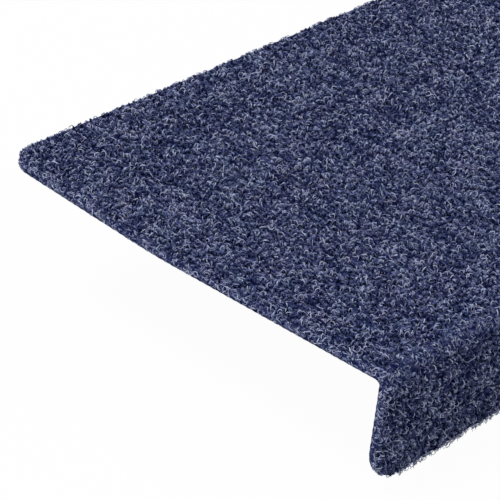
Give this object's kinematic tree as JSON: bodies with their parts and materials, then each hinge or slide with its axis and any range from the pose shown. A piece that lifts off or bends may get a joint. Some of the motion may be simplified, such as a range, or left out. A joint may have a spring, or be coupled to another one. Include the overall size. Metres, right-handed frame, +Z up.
{
  "type": "anti-slip stair tread mat",
  "caption": "Needle-punched felt mat for a stair tread, with round corners and a nosing folded down over the front edge of the step.",
  "frame": {"origin": "on the flat underside of the tread, at the middle of the mat's length and of its depth", "axes": "+X along the step, +Y from the nosing to the back of the tread, +Z up out of the pile side"},
  "size_m": [0.54, 0.16, 0.0442],
  "materials": {
    "needle_felt": "needle-punched felt, heather navy and slate blue, with a curly fibre pile"
  },
  "bodies": {
    "root": {"tread_mat": "needle_felt"}
  },
  "joints": []
}
